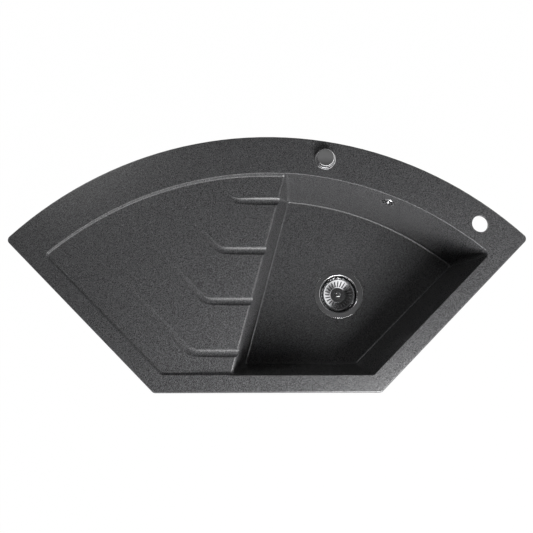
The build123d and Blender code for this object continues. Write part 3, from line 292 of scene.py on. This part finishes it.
def makeFloor(s):
    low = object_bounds()[0].z - s["drop"]
    mesh = bpy.data.meshes.new("studioFloor")
    bm = bmesh.new()
    bmesh.ops.create_grid(bm, x_segments=1, y_segments=1, size=s["size"] / 2)
    bmesh.ops.translate(bm, verts=bm.verts, vec=(0, 0, low))
    bm.to_mesh(mesh)
    bm.free()
    floor = bpy.data.objects.new("studioFloor", mesh)
    bpy.context.scene.collection.objects.link(floor)
    floor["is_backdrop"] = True
    material, shader = startMaterial("paleFloor", 0.0, s["roughness"], s["colour"])
    path = addNode(material, "ShaderNodeLightPath")
    rays = path.outputs["Is Camera Ray"], path.outputs["Is Glossy Ray"]
    seen = combine(material, "MAXIMUM", *rays)
    glow = addNode(material, "ShaderNodeEmission", Color=white, Strength=1.0)
    mix = addNode(material, "ShaderNodeMixShader")
    connect(material, combine(material, "MULTIPLY", seen, s["glow"]), mix.inputs["Fac"])
    connect(material, shader.outputs["BSDF"], mix.inputs[1])
    connect(material, glow.outputs["Emission"], mix.inputs[2])
    output = material.node_tree.nodes["Material Output"]
    connect(material, mix.outputs["Shader"], output.inputs["Surface"])
    mesh.materials.append(material)


# lamps: two low ones far and near in front, two near ones on the bowl's side, one from behind
lampAim = (0.05, -0.05, -0.02)
lamps = {
    "frontFar": {"place": (0.05, -2.044, 0.910), "side": 1.20, "power": 15.7},
    "frontRight": {"place": (0.613, -1.025, 0.630), "side": 0.45, "power": 5.4},
    "frontNear": {"place": (0.241, -0.762, 0.496), "side": 0.45, "power": 5.9},
    "rightNear": {"place": (0.415, -0.571, 0.616), "side": 0.45, "power": 11.7},
    "backLeft": {"place": (-1.050, 1.050, 1.536), "side": 0.70, "power": 10.3},
}


def mirrorPieces(names):
    # polished pieces that show the room's panels, not the square lamps
    group = bpy.data.collections.new("mirrorPieces")
    for name in names:
        group.objects.link(cadNodes[name])
    for member in group.collection_objects:
        member.light_linking.link_state = "EXCLUDE"
    return group


def makeLamp(name, s, unlit):
    light = bpy.data.lights.new(name, "AREA")
    light.shape = "SQUARE"
    light.size = s["side"]
    light.energy = s["power"]
    lamp = bpy.data.objects.new(name, light)
    lamp.location = s["place"]
    look = Vector(lampAim) - Vector(s["place"])
    lamp.rotation_euler = look.to_track_quat("-Z", "Y").to_euler()
    lamp.light_linking.receiver_collection = unlit
    bpy.context.scene.collection.objects.link(lamp)


cameraPlace = {
    "place": (-0.0041, -0.1623, 1.1797),    # above the sink, a little in front of its middle
    "tilt": (7.37, -0.126, -0.141),         # degrees from looking straight down
    "lens": 39.34,
    "sensor": 36.0,
}


def makeCamera(s):
    data = bpy.data.cameras.new("photoCamera")
    data.lens = s["lens"]
    data.sensor_width = s["sensor"]
    camera = bpy.data.objects.new("photoCamera", data)
    camera.rotation_mode = "ZYX"
    camera.location = s["place"]
    camera.rotation_euler = [math.radians(v) for v in s["tilt"]]
    bpy.context.scene.collection.objects.link(camera)
    bpy.context.scene.camera = camera


# room: white for the camera, nearly dark as a light; shiny surfaces mirror pale panels in front
# and on the right, and a dim room elsewhere. A span says between which values of a direction's
# x, y or z something fades in, or out.
room = {
    "ambient": 0.014,
    "around": {"level": 0.10, "fade": (0.9, 0.1)},
    "overhead": {"levels": (0.06, 0.17), "toBack": (0.0, 0.30), "rise": (0.70, 0.90)},
    "front": {"level": 2.4, "side": (0.36, 0.52), "low": (0.36, 0.50), "high": (0.86, 0.93)},
    "right": {"level": 1.8, "side": (0.38, 0.56), "low": (0.36, 0.50), "high": (0.88, 0.95)},
}


def mapSpan(owner, value, span, levels=(0.0, 1.0), shape="SMOOTHSTEP"):
    node = addNode(owner, "ShaderNodeMapRange", interpolation_type=shape)
    for socket, number in zip(("From Min", "From Max", "To Min", "To Max"), (*span, *levels)):
        node.inputs[socket].default_value = number
    connect(owner, value, node.inputs["Value"])
    return node.outputs["Result"]


def combine(owner, operation, first, second):
    node = addNode(owner, "ShaderNodeMath", operation=operation)
    for socket, value in zip(node.inputs, (first, second)):
        if isinstance(value, float):
            socket.default_value = value
        else:
            connect(owner, value, socket)
    return node.outputs["Value"]


def panel(world, s, sideways, up):
    beside = mapSpan(world, sideways, s["side"])
    shown = combine(world, "MULTIPLY", beside, mapSpan(world, up, s["low"]))
    below = combine(world, "SUBTRACT", 1.0, mapSpan(world, up, s["high"]))
    return combine(world, "MULTIPLY", combine(world, "MULTIPLY", shown, below), s["level"])


def makeWorld(s):
    world = bpy.data.worlds.new("softWorld")
    world.use_nodes = True
    background = world.node_tree.nodes["Background"]
    background.inputs["Color"].default_value = white
    direction = addNode(world, "ShaderNodeTexCoord")
    parts = addNode(world, "ShaderNodeSeparateXYZ")
    connect(world, direction.outputs["Generated"], parts.inputs["Vector"])
    right, back, up = parts.outputs
    toFront = combine(world, "MULTIPLY", back, -1.0)
    over = mapSpan(world, back, s["overhead"]["toBack"], s["overhead"]["levels"], "LINEAR")
    over = combine(world, "MULTIPLY", over, mapSpan(world, up, s["overhead"]["rise"]))
    around = mapSpan(world, up, s["around"]["fade"])
    around = combine(world, "MULTIPLY", around, s["around"]["level"])
    glossy = combine(world, "MAXIMUM", over, around)
    glossy = combine(world, "ADD", glossy, panel(world, s["front"], toFront, up))
    glossy = combine(world, "ADD", glossy, panel(world, s["right"], right, up))
    path = addNode(world, "ShaderNodeLightPath")
    level = addNode(world, "ShaderNodeMix", data_type="FLOAT", A=s["ambient"])
    connect(world, path.outputs["Is Glossy Ray"], level.inputs["Factor"])
    connect(world, glossy, level.inputs["B"])
    rays = path.outputs["Is Camera Ray"], path.outputs["Is Transmission Ray"]
    seen = combine(world, "MAXIMUM", *rays)
    strength = addNode(world, "ShaderNodeMix", data_type="FLOAT", B=1.0)
    connect(world, seen, strength.inputs["Factor"])
    connect(world, level.outputs["Result"], strength.inputs["A"])
    connect(world, strength.outputs["Result"], background.inputs["Strength"])
    bpy.context.scene.world = world


makeFloor(ground)
mirrors = mirrorPieces(["control_knob", "knob_collar", "basket_strainer"])
for lampName, lampSettings in lamps.items():
    makeLamp(lampName, lampSettings, mirrors)
makeCamera(cameraPlace)
makeWorld(room)
bpy.context.scene.view_settings.view_transform = "Standard"
print("studio set")
